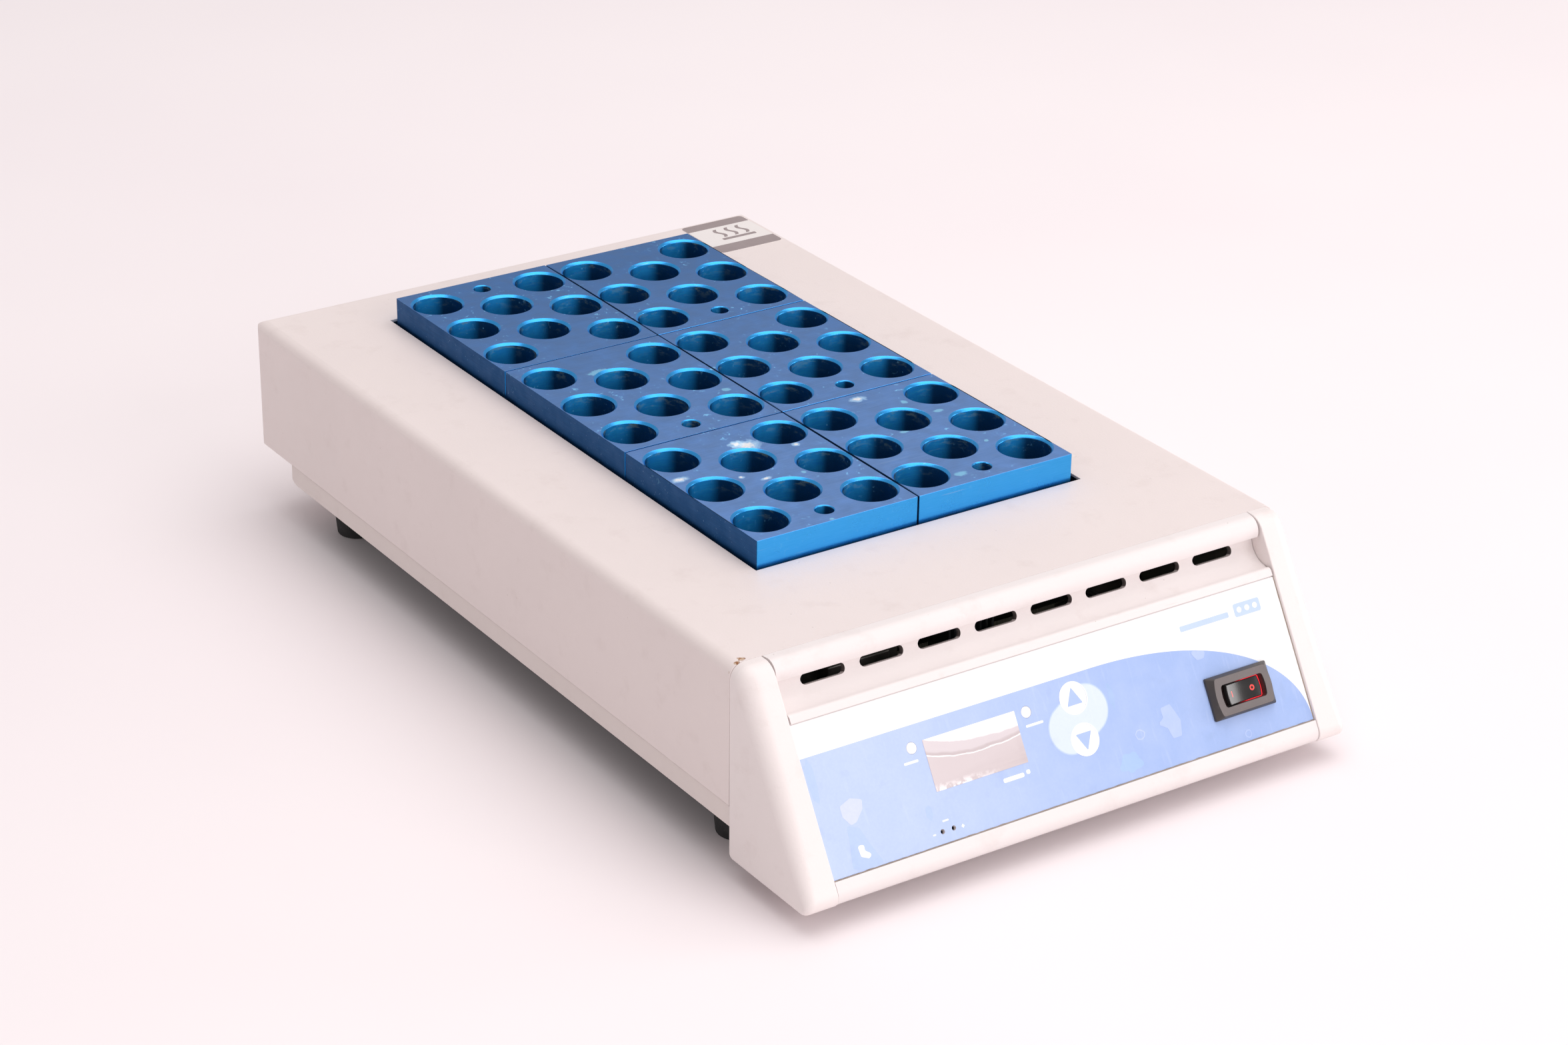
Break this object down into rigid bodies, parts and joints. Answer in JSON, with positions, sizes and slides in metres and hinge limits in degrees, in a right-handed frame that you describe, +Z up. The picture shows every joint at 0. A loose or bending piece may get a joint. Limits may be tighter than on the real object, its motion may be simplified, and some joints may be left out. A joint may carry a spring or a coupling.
{
  "type": "dry block heater",
  "caption": "Bench dry block heater with lift-out blue tube blocks in a painted housing, a vented nose and a sloped panel with display, keys and rocker.",
  "frame": {"origin": "centre of the footprint, on the surface the feet stand on", "axes": "+Z up, +Y to the back (the control panel faces -Y), +X to the right seen from the front"},
  "size_m": [0.254, 0.4348, 0.1002],
  "materials": {
    "painted_cover": "powder coat, fine orange peel",
    "painted_pan": "powder coat",
    "dark_plate": "satin",
    "moulded_caps": "fine spark texture",
    "moulded_bezel": "satin",
    "overlay": "printed film, semi-gloss",
    "window": "silvery crinkled film",
    "black_plastic": "satin",
    "led_lens": "translucent white",
    "keys": "printed film, semi-gloss",
    "switch_black": "fine spark texture",
    "rocker_black": "polished",
    "rocker_red": "translucent red",
    "circuit_board": "solder mask",
    "trimmer_blue": "moulded",
    "brass": "bright",
    "blue_anodised": "blue anodised, fine mill marks",
    "liner_metal": "satin",
    "plate_metal": "milled",
    "silicone_mat": "matt silicone",
    "insulation": "ceramic fibre",
    "bright_steel": "zinc plated",
    "transformer_steel": "laminated",
    "fuse_glass": "clear",
    "cable_cover": "PVC",
    "rubber": "matt",
    "label": "printed",
    "plate_label": "blank satin"
  },
  "bodies": {
    "root": {"top_cover": "painted_cover", "base_pan": "painted_pan", "bottom_plate": "dark_plate", "left_end_cap": "moulded_caps", "right_end_cap": "moulded_caps", "front_bezel": "moulded_bezel", "overlay_film": "overlay", "display_window": "window", "display_module": "black_plastic", "actual_led": "led_lens", "setpoint_led": "led_lens", "key_switches": "black_plastic", "switch_frame": "switch_black", "switch_body": "black_plastic", "control_board": "circuit_board", "trimmer_housings": "trimmer_blue", "well_liner": "liner_metal", "heater_plate": "plate_metal", "heater_mat": "silicone_mat", "insulation_pad": "insulation", "plate_pillars": "insulation", "temperature_probe": "bright_steel", "thermal_cutout": "black_plastic", "power_board": "circuit_board", "board_pillars": "brass", "transformer": "transformer_steel", "heat_sink": "plate_metal", "mains_inlet": "black_plastic", "inlet_pins": "brass", "mains_leads": "cable_cover", "heater_leads": "cable_cover", "probe_lead": "cable_cover", "ribbon_cable": "cable_cover", "rubber_feet": "rubber", "foot_screws": "bright_steel", "cap_screws": "bright_steel", "bezel_screws": "bright_steel", "rear_screws": "bright_steel", "top_label": "label", "rating_plate": "plate_label"},
    "block_front_left": {"block_front_left": "blue_anodised"},
    "block_front_right": {"block_front_right": "blue_anodised"},
    "block_middle_left": {"block_middle_left": "blue_anodised"},
    "block_middle_right": {"block_middle_right": "blue_anodised"},
    "block_back_left": {"block_back_left": "blue_anodised"},
    "block_back_right": {"block_back_right": "blue_anodised"},
    "up_key": {"up_button": "keys"},
    "down_key": {"down_button": "keys"},
    "rocker": {"switch_rocker": "rocker_black", "rocker_lens": "rocker_red"},
    "low_trim": {"low_trimmer": "brass"},
    "high_trim": {"high_trimmer": "brass"},
    "fuse_tray": {"fuse_drawer": "black_plastic", "fuse": "fuse_glass"}
  },
  "joints": [
    {"name": "lift_front_left", "type": "slide", "parent": "root", "child": "block_front_left", "axis": [0, 0, 1], "range_m": [0, 0.06]},
    {"name": "lift_front_right", "type": "slide", "parent": "root", "child": "block_front_right", "axis": [0, 0, 1], "range_m": [0, 0.06]},
    {"name": "lift_middle_left", "type": "slide", "parent": "root", "child": "block_middle_left", "axis": [0, 0, 1], "range_m": [0, 0.06]},
    {"name": "lift_middle_right", "type": "slide", "parent": "root", "child": "block_middle_right", "axis": [0, 0, 1], "range_m": [0, 0.06]},
    {"name": "lift_back_left", "type": "slide", "parent": "root", "child": "block_back_left", "axis": [0, 0, 1], "range_m": [0, 0.06]},
    {"name": "lift_back_right", "type": "slide", "parent": "root", "child": "block_back_right", "axis": [0, 0, 1], "range_m": [0, 0.06]},
    {"name": "up_press", "type": "slide", "parent": "root", "child": "up_key", "axis": [0, 0.8572, -0.515], "range_m": [0, 0.0006], "stiffness_N_per_m": 900, "springref_m": -0.0006},
    {"name": "down_press", "type": "slide", "parent": "root", "child": "down_key", "axis": [0, 0.8572, -0.515], "range_m": [0, 0.0006], "stiffness_N_per_m": 900, "springref_m": -0.0006},
    {"name": "rocker_tilt", "type": "hinge", "parent": "root", "child": "rocker", "pos_m": [0.0823, -0.20259, 0.03501], "axis": [0, -0.515, -0.8572], "range_deg": [0, 18]},
    {"name": "low_trim_turn", "type": "hinge", "parent": "root", "child": "low_trim", "pos_m": [-0.0634, -0.20428, 0.01859], "axis": [0, -0.8572, 0.515], "range_deg": [-135, 135]},
    {"name": "high_trim_turn", "type": "hinge", "parent": "root", "child": "high_trim", "pos_m": [-0.0584, -0.20428, 0.01859], "axis": [0, -0.8572, 0.515], "range_deg": [-135, 135]},
    {"name": "fuse_drawer_slide", "type": "slide", "parent": "root", "child": "fuse_tray", "axis": [0, 1, 0], "range_m": [0, 0.022]}
  ]
}
